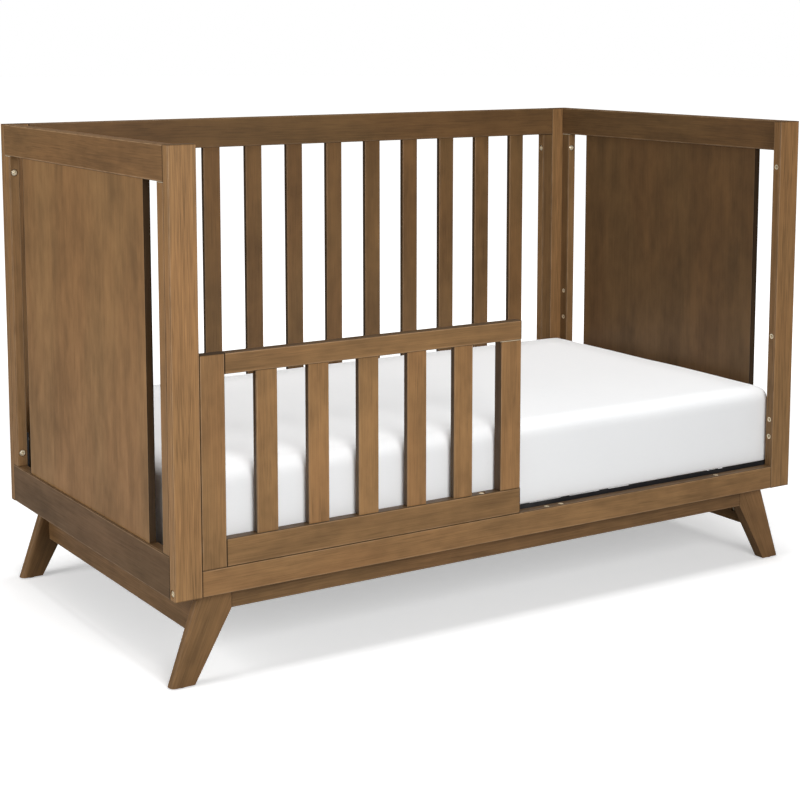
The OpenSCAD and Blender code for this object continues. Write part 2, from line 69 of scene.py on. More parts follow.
def maths(tree, operation, *terms):
    made = place(tree, "ShaderNodeMath", operation=operation)
    for target, term in zip(made.inputs, terms):
        feed(tree, target, term)
    return made.outputs[0]


def times(tree, a, b):
    return maths(tree, "MULTIPLY", a, b)


def vectors(tree, operation, *terms):
    made = place(tree, "ShaderNodeVectorMath", operation=operation)
    for target, term in zip(made.inputs, terms):
        feed(tree, target, term)
    return made.outputs["Value" if operation in ("DOT_PRODUCT", "LENGTH") else "Vector"]


def ramp(tree, value, low, high, to_low=0.0, to_high=1.0):
    """Maps low to high onto to_low to to_high, with smooth ends."""
    feeds = zip(("Value", "From Min", "From Max", "To Min", "To Max"),
                (value, low, high, to_low, to_high))
    return place(tree, "ShaderNodeMapRange", feeds,
                 interpolation_type="SMOOTHSTEP").outputs["Result"]


def cloudiness(tree, vector, stretch, detail=2.0, colour=False):
    """Noise of a pattern stretched by so many repeats a metre along each axis."""
    made = place(tree, "ShaderNodeTexNoise", {
        "Vector": vectors(tree, "MULTIPLY", vector, stretch), "Scale": 1.0, "Detail": detail})
    return made.outputs[1 if colour else 0]


def blend_colours(tree, share, a, b, kind="MIX"):
    return place(tree, "ShaderNodeMix", {0: share, 6: a, 7: b}, data_type="RGBA",
                 blend_type=kind).outputs[2]


def sockets(tree, way, wanted):
    """Gives a tree inputs or outputs, and returns their identifiers by name."""
    return {label: tree.interface.new_socket(
        label, in_out=way, socket_type="NodeSocket" + kind).identifier
            for label, kind in wanted.items()}


def group(name, takes, gives):
    """An empty shader group, with its inputs and outputs by name."""
    tree = bpy.data.node_groups.new(name, "ShaderNodeTree")
    sockets(tree, "INPUT", takes)
    sockets(tree, "OUTPUT", gives)
    return (tree, place(tree, "NodeGroupInput").outputs,
            place(tree, "NodeGroupOutput").inputs)


def use(tree, inner, **terms):
    """Puts a shader group in a tree, with its inputs fed."""
    return place(tree, "ShaderNodeGroup", terms, node_tree=inner).outputs


def give(tree, out, **terms):
    """Feeds the outputs of a group."""
    for name, term in terms.items():
        feed(tree, out[name], term)


def noise_swing(tree, pattern, weight):
    """How far a noise is from its middle, times a weight."""
    return times(tree, maths(tree, "SUBTRACT", pattern, 0.5), weight)


def scaled(tree, vector, scale):
    return vectors(tree, "SCALE", vector, (0, 0, 0), (0, 0, 0), scale)


# Stained beech: fibre lines and pores along Z, broad streaks, and cloudy stain.
stained_beech, given, out = group(
    "stained_beech",
    {"Vector": "Vector", "Seed": "Float", "Deep": "Color", "Pale": "Color",
     "Lines": "Float", "Streaks": "Float", "Clouds": "Float", "Pores": "Float"},
    {"Color": "Color", "Tone": "Float", "Height": "Float"})
tree = stained_beech
sway_reach, pore_depth = 0.016, 0.20
moved = vectors(tree, "ADD", given["Vector"], scaled(tree, (3.17, 1.73, 5.39), given["Seed"]))
sway = vectors(tree, "SUBTRACT", cloudiness(tree, moved, (7, 7, 1.6), colour=True),
               (0.5, 0.5, 0.5))
waved = vectors(tree, "ADD", moved,
                vectors(tree, "MULTIPLY", sway, (sway_reach, sway_reach, 0)))
fibre = cloudiness(tree, waved, (330, 330, 7), 3)
hair = cloudiness(tree, waved, (640, 640, 16), 2)
streak = cloudiness(tree, waved, (38, 38, 2.4), 2)
cloud = cloudiness(tree, moved, (15, 15, 5.5), 4)
mottle = cloudiness(tree, moved, (46, 46, 24), 4)
pore = ramp(tree, cloudiness(tree, waved, (480, 480, 13), 1), 0.60, 0.74)
tone = 0.5
for amount, pattern, weight in (("Lines", fibre, 0.66), ("Lines", hair, 0.95),
                                ("Streaks", streak, 0.55), ("Clouds", cloud, 1.0),
                                ("Clouds", mottle, 0.62)):
    weight = times(tree, given[amount], weight)
    tone = maths(tree, "ADD", tone, noise_swing(tree, pattern, weight))
pitted = times(tree, pore, given["Pores"])
tone = maths(tree, "SUBTRACT", tone, times(tree, pitted, pore_depth))
stained = blend_colours(tree, ramp(tree, tone, -0.15, 1.15), given["Deep"], given["Pale"])
warm_or_cool = ramp(tree, cloudiness(tree, moved, (6, 6, 2.2), 2), 0.35, 0.65)
hue = blend_colours(tree, warm_or_cool, (1.015, 0.99, 0.97, 1), (0.985, 1.01, 1.01, 1))
height = maths(tree, "ADD", times(tree, fibre, 0.5), times(tree, hair, 0.3))
give(tree, out, Color=blend_colours(tree, 1.0, stained, hue, "MULTIPLY"), Tone=tone,
     Height=maths(tree, "SUBTRACT", height, times(tree, pitted, 0.8)))

# How near a point is to the long edges of its board, to its ends, and to the side of
# its box that faces the way Toward.
board_edges, given, out = group(
    "board_edges",
    {"Vector": "Vector", "Low": "Vector", "High": "Vector", "Along": "Vector",
     "Toward": "Vector"},
    {"Worn": "Float", "Seam": "Float", "End": "Float", "Facing": "Float"})
tree = board_edges
above = vectors(tree, "SUBTRACT", given["Vector"], given["Low"])
below = vectors(tree, "SUBTRACT", given["High"], given["Vector"])
depth = vectors(tree, "MINIMUM", above, below)
across = place(tree, "ShaderNodeSeparateXYZ", {0: vectors(
    tree, "MULTIPLY", depth, vectors(tree, "SUBTRACT", (1, 1, 1), given["Along"]))}).outputs
edge = maths(tree, "MAXIMUM", maths(tree, "MAXIMUM", across[0], across[1]), across[2])
flank = times(tree, ramp(tree, edge, 0.0007, 0.0013),
              ramp(tree, edge, 0.0018, 0.0032, 1.0, 0.0))
rubbed = ramp(tree, cloudiness(tree, given["Vector"], (38, 38, 38), 3), 0.30, 0.62, 0.35, 1.0)
to_end = vectors(tree, "DOT_PRODUCT", depth, given["Along"])
to_high = vectors(tree, "MAXIMUM", given["Toward"], (0, 0, 0))
to_low = vectors(tree, "MINIMUM", given["Toward"], (0, 0, 0))
outer = vectors(tree, "DOT_PRODUCT", to_high, below)
inner = vectors(tree, "DOT_PRODUCT", to_low,
                vectors(tree, "SUBTRACT", given["Low"], given["Vector"]))
give(tree, out, Worn=times(tree, flank, rubbed),
     Seam=ramp(tree, edge, 0.0006, 0.0013, 1.0, 0.0),
     End=ramp(tree, to_end, 0.0004, 0.0024, 1.0, 0.0),
     Facing=ramp(tree, maths(tree, "ADD", outer, inner), 0.0003, 0.0011, 1.0, 0.0))

STAIN = np.array((0.281, 0.151, 0.061))
PALE_EDGE, DRIED_GLUE = (0.42, 0.27, 0.15, 1), (0.84, 0.72, 0.52, 1)
UP, LONG, DEEP = (0, 0, 1), (1, 0, 0), (0, 1, 0)
LEFT, RIGHT, FRONT, BACK = (-1, 0, 0), (1, 0, 0), (0, -1, 0), (0, 1, 0)
TURNS = {UP: (0, 0, 0), LONG: (0, -math.pi / 2, 0), DEEP: (math.pi / 2, 0, 0)}


def stain(tone, share):
    """The stain's colour on a board of that tone, at a share of its middle value."""
    return (*(STAIN * tone * share), 1.0)


def darkened(tree, colour, share):
    """A colour times one number."""
    grey = place(tree, "ShaderNodeCombineColor", {0: share, 1: share, 2: share})
    return blend_colours(tree, 1.0, colour, grey.outputs[0], "MULTIPLY")


def new_material(name):
    """A material with its tree, its shader and its Object coordinates."""
    made = bpy.data.materials.new(name)
    made.use_nodes = True
    tree = made.node_tree
    coordinates = place(tree, "ShaderNodeTexCoord").outputs["Object"]
    return made, tree, tree.nodes["Principled BSDF"], coordinates


def finish(tree, shader, colour, roughness, height, distance, strength=1.0):
    """Feeds a shader its colour and roughness, and its normal from a height."""
    bumped = place(tree, "ShaderNodeBump", {
        "Strength": strength, "Distance": distance, "Height": height})
    for name, term in (("Base Color", colour), ("Roughness", roughness),
                       ("Normal", bumped.outputs["Normal"])):
        feed(tree, shader.inputs[name], term)


def slat_colour(tree, colour, own_number, worn):
    """Gives each slat its own tone, pale rounded edges, and narrow sides darkened with painted
    shade.
    """
    shade = ramp(tree, maths(tree, "FRACT", times(tree, own_number, 7.31)),
                 0.0, 1.0, 0.94, 1.04)
    side = place(tree, "ShaderNodeAttribute", attribute_name="side").outputs["Fac"]
    rim = times(tree, ramp(tree, side, 0.25, 0.5), ramp(tree, side, 0.7, 0.95, 1.0, 0.0))
    rubbed = times(tree, rim, 0.6 * worn)
    colour = blend_colours(tree, rubbed, darkened(tree, colour, shade), PALE_EDGE)
    # Painted shade: the narrow sides, which face the gaps between the slats, are darkened.
    return darkened(tree, colour, ramp(tree, side, 0.8, 0.97, 1.0, 0.27))


def edge_colour(tree, colour, coordinates, along, corners, tone, worn, painted_shade_faces, glued):
    """Wears a board's edges, darkens its seams and ends, and darkens some faces with painted
    shade.
    """
    box = {"Vector": coordinates, "Low": corners[0], "High": corners[1]}
    edges = use(tree, board_edges, Along=along, **box)
    dark = stain(tone, 0.25)
    for mask, most, paint in (("Worn", 0.46 * worn, PALE_EDGE), ("Seam", 0.74, dark),
                              ("End", 0.68, dark)):
        colour = blend_colours(tree, times(tree, edges[mask], most), colour, paint)
    # Painted shade: each face that looks into the crib or into a gap keeps only its share of
    # the colour.
    for way, share in painted_shade_faces:
        facing = use(tree, board_edges, Toward=way, **box)["Facing"]
        colour = darkened(tree, colour, maths(
            tree, "SUBTRACT", 1.0, times(tree, facing, 1.0 - share)))
    if glued:
        bead = use(tree, board_edges, Toward=UP, **box)["Facing"]
        colour = blend_colours(tree, times(tree, bead, 0.85), colour, DRIED_GLUE)
    return colour


def stained_board(name, along, corners, seed, tone=1.0, lines=1.0, streaks=0.6, clouds=0.6,
                  pores=1.0, worn=1.0, lean=0.0, per_board=False, painted_shade_faces=(), glued=False):
    """Stained and lacquered beech, with its grain along one axis of a board.

    The faces given for painted shade are darkened where the crib's own parts would shade them:
    the way each faces, and the share of colour it keeps.
    A glued board shows a thin line of dried glue at its top end."""
    made, tree, shader, coordinates = new_material(name)
    turned = place(tree, "ShaderNodeMapping", {
        "Rotation": Vector(TURNS[along]) + Vector((0, lean, 0)), "Vector": coordinates})
    if per_board:
        own_number = place(tree, "ShaderNodeAttribute", attribute_name="board").outputs["Fac"]
        seed = maths(tree, "ADD", own_number, seed)
    wood = use(tree, stained_beech, Vector=turned.outputs[0], Seed=seed,
               Deep=stain(tone, 0.58), Pale=stain(tone, 1.42), Lines=lines,
               Streaks=streaks, Clouds=clouds, Pores=pores)
    colour = wood["Color"]
    if per_board:
        colour = slat_colour(tree, colour, own_number, worn)
    if corners is not None:
        colour = edge_colour(tree, colour, coordinates, along, corners, tone, worn,
                             painted_shade_faces, glued)
    shader.inputs["Specular IOR Level"].default_value = 0.22
    finish(tree, shader, colour, ramp(tree, wood["Tone"], 0.1, 0.9, 0.52, 0.40),
           wood["Height"], 0.00016, 0.55)
    return made


def finish_node(name, material):
    """Gives a CAD node its finished material."""
    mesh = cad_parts[name].data
    mesh.materials.clear()
    mesh.materials.append(material)


# The posts' tones are partly their own and partly painted shade: lower on the posts that get
# less of the lamps' light, towards the right and the back. Each post's inner side and top are
# darkened as painted shade.
for seed, (name, tone, inward) in enumerate((
        ("post_front_left", 1.08, RIGHT), ("post_front_right", 0.97, LEFT),
        ("post_rear_left", 0.92, RIGHT), ("post_rear_right", 0.90, LEFT))):
    finish_node(name, stained_board(name, UP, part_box(name), 1.37 + seed, tone, lines=1.15,
                                    streaks=0.5, clouds=0.4, pores=1.5,
                                    painted_shade_faces=((inward, 0.62), (UP, 0.8))))

# ------------------------------------------------------------------ end frames
# The rails and stiles of the two ends, 20 mm beech like the posts, glued with dowels.
# The rails' grain runs from front to back and the stiles' runs up.
# The right end's top rail and stiles take lower tones than the left end's, partly as painted
# shade for the lesser light at the right. The inner faces and tops of these pieces are
# darkened as painted shade.
for seed, (name, along, tone) in enumerate((
        ("end_left_top_rail", DEEP, 0.72), ("end_left_bottom_rail", DEEP, 0.45),
        ("end_right_top_rail", DEEP, 0.64), ("end_right_bottom_rail", DEEP, 0.62),
        ("end_left_front_stile", UP, 0.92), ("end_left_rear_stile", UP, 0.92),
        ("end_right_front_stile", UP, 0.80), ("end_right_rear_stile", UP, 0.80))):
    inward = RIGHT if "left" in name else LEFT
    finish_node(name, stained_board(name, along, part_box(name), 7.61 + seed, tone, lines=0.65,
                                    streaks=0.9, clouds=0.8, glued=along == UP,
                                    worn=1.6 if "top" in name else 1.0,
                                    painted_shade_faces=((inward, 0.62), (UP, 0.8))))

# ------------------------------------------------------------------ end panels
# A sheet of 12 mm plywood in grooves of the rails, faced with beech veneer. The
# stain takes unevenly on it, in soft upright clouds, with hardly a line of grain.
# The right panel's lower tone is partly painted shade, as less light reaches the right end.
# The inner faces and the front and back edges in their grooves are darkened as painted shade.
for seed, (name, tone, inward) in enumerate((("end_left_panel", 0.94, RIGHT),
                                             ("end_right_panel", 0.76, LEFT))):
    finish_node(name, stained_board(name, UP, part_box(name), 21.4 + seed, tone, lines=0.35,
                                    streaks=0.8, clouds=1.0, pores=0.2, worn=0.5,
                                    painted_shade_faces=((inward, 0.50), (FRONT, 0.25), (BACK, 0.25))))

# ------------------------------------------------------------------ back frame
# The rails and stiles that carry the back slats, of the same 20 mm beech. The
# stiles are bolted to the rear posts through their edges.
# The faces that look into the crib and the tops are darkened as painted shade.
for seed, (name, along, tone) in enumerate((
        ("back_top_rail", LONG, 0.84), ("back_bottom_rail", LONG, 0.84),
        ("back_left_stile", UP, 0.86), ("back_right_stile", UP, 0.84))):
    finish_node(name, stained_board(name, along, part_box(name), 31.9 + seed, tone, lines=0.6,
                                    streaks=0.9, clouds=0.8,
                                    painted_shade_faces=((FRONT, 0.60), (UP, 0.7))))

# ------------------------------------------------------------------ back slats
# Twelve slats, 38 by 13 mm, with rounded edges, glued into mortises of the two
# rails. Each is cut from its own board, so its tone and grain differ a little.


def nodes_tree(name, takes):
    """A geometry tree, its inputs' identifiers, and its input and output nodes."""
    tree = bpy.data.node_groups.new(name, "GeometryNodeTree")
    sockets(tree, "OUTPUT", {"Geometry": "Geometry"})
    names = sockets(tree, "INPUT", {"Geometry": "Geometry", **takes})
    return (tree, names, place(tree, "NodeGroupInput").outputs,
            place(tree, "NodeGroupOutput").inputs[0])


def chain(tree, first, *rest):
    """Links each node's first output to the next node's first input."""
    for a, b in zip((first, *rest), rest):
        tree.links.new(a if isinstance(a, bpy.types.NodeSocket) else a.outputs[0],
                       b if isinstance(b, bpy.types.NodeSocket) else b.inputs[0])


def put(name, data):
    """A new object in the scene, at the origin."""
    made = bpy.data.objects.new(name, data)
    bpy.context.scene.collection.objects.link(made)
    return made


def grown(name, tree, names, start=None, **values):
    """Runs a geometry tree on a mesh and returns the result as a plain mesh object."""
    holder = put(name + "_tree", start or bpy.data.meshes.new(name + "_start"))
    modifier = holder.modifiers.new("make", "NODES")
    modifier.node_group = tree
    for label, value in values.items():
        modifier[names[label.replace("_", " ")]] = value
    bpy.context.view_layer.update()
    shaped = holder.evaluated_get(bpy.context.evaluated_depsgraph_get())
    mesh = bpy.data.meshes.new_from_object(shaped)
    mesh.name = name
    holder.modifiers.remove(modifier)
    bpy.data.objects.remove(holder)
    return put(name, mesh)


def realize(tree, given, result, *parts):
    """Ends a tree: links its parts, realizes the instances and sets the material."""
    chain(tree, *parts, place(tree, "GeometryNodeRealizeInstances"),
          place(tree, "GeometryNodeSetMaterial", {"Material": given["Finish"]}), result)


slat_tree, slat_names, given, result = nodes_tree("row_of_slats", {
    "Count": "Int", "First": "Vector", "Step": "Vector", "Width": "Float",
    "Thickness": "Float", "Height": "Float", "Ease": "Float", "Seed": "Int",
    "Finish": "Material"})
tree = slat_tree
outline = place(tree, "GeometryNodeCurvePrimitiveQuadrilateral", {
    "Width": given["Width"], "Height": given["Thickness"]})
eased = place(tree, "GeometryNodeFilletCurve", {"Count": 4, "Radius": given["Ease"]},
              mode="POLY")
face = place(tree, "GeometryNodeFillCurve", mode="NGONS")
chain(tree, outline, eased, face)
rise = place(tree, "ShaderNodeCombineXYZ", {"Z": given["Height"]})
body = place(tree, "GeometryNodeExtrudeMesh", {
    "Individual": False, "Offset": rise.outputs[0]}, mode="FACES")
closed = place(tree, "GeometryNodeJoinGeometry")
chain(tree, face, place(tree, "GeometryNodeFlipFaces"), closed)
chain(tree, face, body, closed)
# Each face keeps how far it is turned to the side, which is 1 on the narrow sides.
facing = place(tree, "ShaderNodeSeparateXYZ", {
    0: place(tree, "GeometryNodeInputNormal").outputs[0]})
sided = place(tree, "GeometryNodeStoreNamedAttribute", {
    "Name": "side", "Value": maths(tree, "ABSOLUTE", facing.outputs[0])}, domain="FACE")
chain(tree, closed, place(tree, "GeometryNodeMergeByDistance"), sided)
row = place(tree, "GeometryNodeMeshLine", {
    "Count": given["Count"], "Start Location": given["First"], "Offset": given["Step"]})
stood = place(tree, "GeometryNodeInstanceOnPoints", {"Instance": sided.outputs[0]})
chance = place(tree, "FunctionNodeRandomValue", {2: 1.0, 3: 9.0, "Seed": given["Seed"]},
               data_type="FLOAT")
kept = place(tree, "GeometryNodeStoreNamedAttribute", {
    "Name": "board", "Value": chance.outputs[1]}, domain="INSTANCE")
realize(tree, given, result, row, stood, kept)

left_row, right_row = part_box("back_slats_left"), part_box("back_slats_right")
slat_w, slat_t, slat_ease, slat_count = 0.038, 0.013, 0.0022, 12
first = Vector((left_row[0].x + slat_w / 2, left_row[0].y + slat_t / 2, left_row[0].z))
last_x = right_row[1].x - slat_w / 2
# The slats' faces that look into the crib, and their narrow sides, are darkened as painted
# shade.
back_slats = grown(
    "back_slats", slat_tree, slat_names, Count=slat_count, First=first,
    Step=Vector(((last_x - first.x) / (slat_count - 1), 0, 0)), Width=slat_w,
    Thickness=slat_t, Height=left_row[1].z - left_row[0].z, Ease=slat_ease, Seed=4,
    Finish=stained_board("back_slat_beech", UP, (left_row[0], right_row[1]), 41.3, 0.89,
                         lines=0.5, streaks=0.7, clouds=0.9, per_board=True,
                         painted_shade_faces=((FRONT, 0.64),)))
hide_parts("back_slats_left", "back_slats_middle", "back_slats_right")
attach(back_slats, "root")

# -------------------------------------------------------------- low front rail
# One beech rail, 45 mm high, between the front posts. A long bolt and a barrel nut
# at each end hold it, and the guard rail stands on its left half.
# Its back face, inside the crib, and its top, under the mattress, are darkened as painted
# shade.
finish_node("low_front_rail", stained_board(
    "low_front_rail", LONG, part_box("low_front_rail"), 51.2, 0.89, lines=0.6, streaks=0.9,
    clouds=0.9, painted_shade_faces=((BACK, 0.62), (UP, 0.4))))

# ------------------------------------------------------------ guard rail frame
# The half-length guard rail: two rails and two stiles, glued up as one frame and
# bolted to the left post and to the low rail. A little glue shows above the free stile.
# The back faces, tops and narrow sides of the guard's parts are darkened as painted shade.
for seed, (name, along, tone) in enumerate((
        ("guard_top_rail", LONG, 0.88), ("guard_bottom_rail", LONG, 0.82),
        ("guard_post_stile", UP, 0.98), ("guard_free_stile", UP, 1.06))):
    finish_node(name, stained_board(
        name, along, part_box(name), 61.7 + seed, tone, lines=0.6, streaks=0.9, clouds=0.8,
        painted_shade_faces=((BACK, 0.62), (UP, 0.34), (LEFT, 0.3), (RIGHT, 0.45)),
        glued=name == "guard_free_stile"))

# ----------------------------------------------------------------- guard slats
# Five slats of the guard rail, 40 by 13 mm, made and glued like those of the back.
first_slat, last_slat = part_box("guard_slat_1"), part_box("guard_slat_5")
guard_count = 5
guard_w = first_slat[1].x - first_slat[0].x
first = Vector((first_slat[0].x + guard_w / 2, first_slat[0].y + slat_t / 2, first_slat[0].z))
# The slats' back faces, which look into the crib, and their narrow sides are darkened as
# painted shade.
guard_slats = grown(
    "guard_slats", slat_tree, slat_names, Count=guard_count, First=first,
    Step=Vector(((last_slat[0].x - first_slat[0].x) / (guard_count - 1), 0, 0)),
    Width=guard_w, Thickness=slat_t, Height=first_slat[1].z - first_slat[0].z,
    Ease=slat_ease, Seed=23, Finish=stained_board(
        "guard_slat_beech", UP, (first_slat[0], last_slat[1]), 71.3, 1.0, lines=0.5,
        streaks=0.6, clouds=1.0, per_board=True, painted_shade_faces=((BACK, 0.62),)))
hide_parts(*[f"guard_slat_{i + 1}" for i in range(guard_count)])
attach(guard_slats, "root")

# -------------------------------------------------------------------- leg base
# Four splayed legs with rounded outer edges, joined by a long apron at the front
# and the back and a deep one at each end, all of beech. The grain follows the lean.
leg_lean = math.radians(24)
for seed, (name, way) in enumerate((("leg_front_left", -1), ("leg_front_right", 1),
                                    ("leg_rear_left", -1), ("leg_rear_right", 1))):
    finish_node(name, stained_board(name, UP, None, 81.1 + seed, 0.72, lines=0.7,
                                    streaks=0.5, clouds=0.9, lean=way * leg_lean))
for seed, (name, along) in enumerate((("front_apron", LONG), ("rear_apron", LONG),
                                      ("left_end_apron", DEEP), ("right_end_apron", DEEP))):
    finish_node(name, stained_board(name, along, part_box(name), 91.6 + seed, 0.62,
                                    lines=0.9, streaks=1.0, clouds=0.8, worn=0.6))

# ------------------------------------------------- corner plates and foot glides
# Squares of bare birch plywood, glued into the corners of the body, that the legs
# are screwed to. A black nylon glide with a pin is tapped into each foot.
plywood, tree, shader, coordinates = new_material("bare_birch_plywood")
ply = use(tree, stained_beech, Vector=coordinates, Seed=3.3, Deep=(0.40, 0.27, 0.15, 1),
          Pale=(0.66, 0.50, 0.31, 1), Lines=0.5, Streaks=0.5, Clouds=0.6, Pores=0.2)
layers = place(tree, "ShaderNodeSeparateXYZ", {0: coordinates}).outputs[2]
two_plies = 0.004
banded = maths(tree, "SINE", times(tree, layers, 2 * math.pi / two_plies))
finish(tree, shader, blend_colours(tree, ramp(tree, banded, 0.2, 0.9, 0.0, 0.18),
                                   ply["Color"], (0.25, 0.15, 0.08, 1)),
       0.72, ply["Height"], 0.0002)
finish_node("corner_plates", plywood)

nylon, tree, shader, coordinates = new_material("black_nylon")
grit = cloudiness(tree, coordinates, (900, 900, 900), 2)
black = blend_colours(tree, grit, (0.010, 0.010, 0.011, 1), (0.030, 0.029, 0.028, 1))
finish(tree, shader, black, ramp(tree, grit, 0.2, 0.8, 0.45, 0.62), grit, 0.0001)
finish_node("foot_glides", nylon)

# ----------------------------------------------------- support frame and hangers
# The mattress support: a frame of angle steel with four slotted hangers that hook
# over shoulder bolts in the end stiles, welded and powder coated black.
powder_coat, given, out = group(
    "powder_coat", {"Vector": "Vector", "Coat": "Color"},
    {"Color": "Color", "Roughness": "Float", "Height": "Float"})
tree = powder_coat
dusty = cloudiness(tree, given["Vector"], (9, 9, 9), 4)
give(tree, out, Roughness=ramp(tree, dusty, 0.3, 0.8, 0.38, 0.62),
     Height=cloudiness(tree, given["Vector"], (620, 620, 620), 2),
     Color=blend_colours(tree, ramp(tree, dusty, 0.45, 0.8, 0.0, 0.35), given["Coat"],
                         (0.09, 0.085, 0.08, 1)))
black_steel, tree, shader, coordinates = new_material("black_powder_coated_steel")
coat = use(tree, powder_coat, Vector=coordinates, Coat=(0.016, 0.016, 0.018, 1))
finish(tree, shader, coat["Color"], coat["Roughness"], coat["Height"], 0.00012, 0.6)
for name in ("support_frame", "support_hangers"):
    finish_node(name, black_steel)

# ------------------------------------------------------------ wire mat and springs
# Eight long and fourteen cross wires, 3 mm thick, spot welded where they cross.
# Open coil springs hook each wire's end to the frame. All are coated black.
wire_tree, wire_names, given, result = nodes_tree("row_of_wires", {
    "Count": "Int", "First": "Vector", "Step": "Vector", "Reach": "Vector",
    "Radius": "Float", "Finish": "Material"})
tree = wire_tree


def tube(tree, path, radius, sides):
    """A round wire along a curve, closed at both ends."""
    ring = place(tree, "GeometryNodeCurvePrimitiveCircle", {
        "Resolution": sides, "Radius": radius})
    return place(tree, "GeometryNodeCurveToMesh", {
        "Curve": path, "Profile Curve": ring.outputs[0], "Fill Caps": True}).outputs[0]


row = place(tree, "GeometryNodeMeshLine", {
    "Count": given["Count"], "Start Location": given["First"], "Offset": given["Step"]})
wire = place(tree, "GeometryNodeCurvePrimitiveLine", {"End": given["Reach"]}).outputs[0]
laid = place(tree, "GeometryNodeInstanceOnPoints", {
    "Instance": tube(tree, wire, given["Radius"], 12)})
realize(tree, given, result, row, laid)

wire_r = 0.0015
mat_low, mat_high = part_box("support_wires")
for name, count, along in (("long_wires", 8, 0), ("cross_wires", 14, 1)):
    # The long wires lie on the cross wires.
    start, reach, step = Vector(mat_low), Vector(), Vector()
    start.z = mat_high.z - wire_r if along == 0 else mat_low.z + wire_r
    start[1 - along] += 2 * wire_r
    reach[along] = mat_high[along] - mat_low[along]
    step[1 - along] = (mat_high[1 - along] - mat_low[1 - along] - 4 * wire_r) / (count - 1)
    made = grown(name, wire_tree, wire_names, Count=count, First=start, Step=step,
                 Reach=reach, Radius=wire_r, Finish=black_steel)
    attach(made, "support")
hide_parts("support_wires")


def loose_parts(name):
    """The lowest and highest corner of each separate solid in a CAD node."""
    mesh = bmesh.new()
    mesh.from_mesh(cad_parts[name].data)
    bmesh.ops.remove_doubles(mesh, verts=mesh.verts, dist=2e-6)
    boxes, seen = [], set()
    for vertex in mesh.verts:
        if vertex in seen:
            continue
        part, waiting = [], [vertex]
        seen.add(vertex)
        while waiting:
            here = waiting.pop()
            part.append(here.co.copy())
            for edge in here.link_edges:
                other = edge.other_vert(here)
                if other not in seen:
                    seen.add(other)
                    waiting.append(other)
        spots = np.array(part)
        boxes.append((Vector(spots.min(0)), Vector(spots.max(0)), spots))
    mesh.free()
    return boxes


def points_with_ways(name, places):
    """A mesh of points, each with the way it faces and how long its shank is."""
    made = bpy.data.meshes.new(name)
    made.from_pydata([p[0] for p in places], [], [])
    ways = made.attributes.new("way", "FLOAT_VECTOR", "POINT")
    ways.data.foreach_set("vector", np.array([p[1] for p in places], np.float32).ravel())
    reaches = made.attributes.new("reach", "FLOAT", "POINT")
    reaches.data.foreach_set("value", np.array([p[2] for p in places], np.float32))
    return made


spring_tree, spring_names, given, result = nodes_tree("springs", {
    "Coils": "Float", "Radius": "Float", "Wire": "Float", "Length": "Float",
    "Finish": "Material"})
tree = spring_tree


def facing_its_way(tree):
    """The turn of each point that makes what stands on it face the point's way."""
    way = place(tree, "GeometryNodeInputNamedAttribute", {"Name": "way"},
                data_type="FLOAT_VECTOR").outputs[0]
    return place(tree, "FunctionNodeAlignRotationToVector", {"Vector": way},
                 axis="Z").outputs[0]


coil = place(tree, "GeometryNodeCurveSpiral", {
    "Resolution": 14, "Rotations": given["Coils"], "Start Radius": given["Radius"],
    "End Radius": given["Radius"], "Height": given["Length"]}).outputs[0]
hooked = place(tree, "GeometryNodeInstanceOnPoints", {
    "Instance": tube(tree, coil, given["Wire"], 6), "Rotation": facing_its_way(tree)})
realize(tree, given, result, given["Geometry"], hooked)

spring_places = []
for low, high, _ in loose_parts("support_springs"):
    size = high - low
    along = max(range(3), key=lambda i: size[i])
    start, way = (low + high) / 2, Vector()
    way[along] = 1.0
    start[along] = low[along]
    spring_places.append((start, way, size[along]))
spring_r, wire_of_spring = 0.0045, 0.0007
springs = grown("coil_springs", spring_tree, spring_names,
                points_with_ways("spring_places", spring_places), Coils=17.0,
                Radius=spring_r - wire_of_spring, Wire=wire_of_spring,
                Length=spring_places[0][2], Finish=black_steel)
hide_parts("support_springs")
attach(springs, "support")

# --------------------------------------------------------------- bolts and screws
# M6 bolts with low round heads and hexagon sockets, plated a pale brass-nickel. The
# heads lie in counterbores, and the shanks end in threaded inserts or barrel nuts.


def mesh_from(name, mesh):
    """A plain mesh from one that is being edited."""
    made = bpy.data.meshes.new(name)
    mesh.to_mesh(made)
    mesh.free()
    return made


def lathe(name, rings, around=24):
    """A closed solid from rings of (radius, height). A radius may depend on the angle."""
    mesh = bmesh.new()
    loops = []
    for radius, high in rings:
        loop = []
        for i in range(around):
            turn_angle = 2 * math.pi * i / around
            reach = radius(turn_angle) if callable(radius) else radius
            loop.append(mesh.verts.new((reach * math.cos(turn_angle),
                                        reach * math.sin(turn_angle), high)))
        loops.append(loop)
    for low_ring, high_ring in zip(loops, loops[1:]):
        for i in range(around):
            j = (i + 1) % around
            mesh.faces.new((low_ring[i], low_ring[j], high_ring[j], high_ring[i]))
    mesh.faces.new(list(reversed(loops[0])))
    mesh.faces.new(loops[-1])
    bmesh.ops.recalc_face_normals(mesh, faces=mesh.faces)
    return bpy.data.objects.new(name, mesh_from(name, mesh))


def hexagon(across):
    """The radius of a hexagon of that width across its flats, at any angle."""
    def at(angle):
        within = (angle + math.pi / 6) % (math.pi / 3) - math.pi / 6
        return across / 2 / math.cos(within)
    return at


metal_plate, given, out = group(
    "plated_metal", {"Vector": "Vector", "Bright": "Color", "Dull": "Color"},
    {"Color": "Color", "Roughness": "Float", "Height": "Float"})
tree = metal_plate
smudge = cloudiness(tree, given["Vector"], (160, 160, 160), 3)
give(tree, out, Roughness=ramp(tree, smudge, 0.3, 0.8, 0.24, 0.46),
     Height=cloudiness(tree, given["Vector"], (1900, 1900, 1900), 1),
     Color=blend_colours(tree, ramp(tree, smudge, 0.35, 0.75), given["Bright"],
                         given["Dull"]))


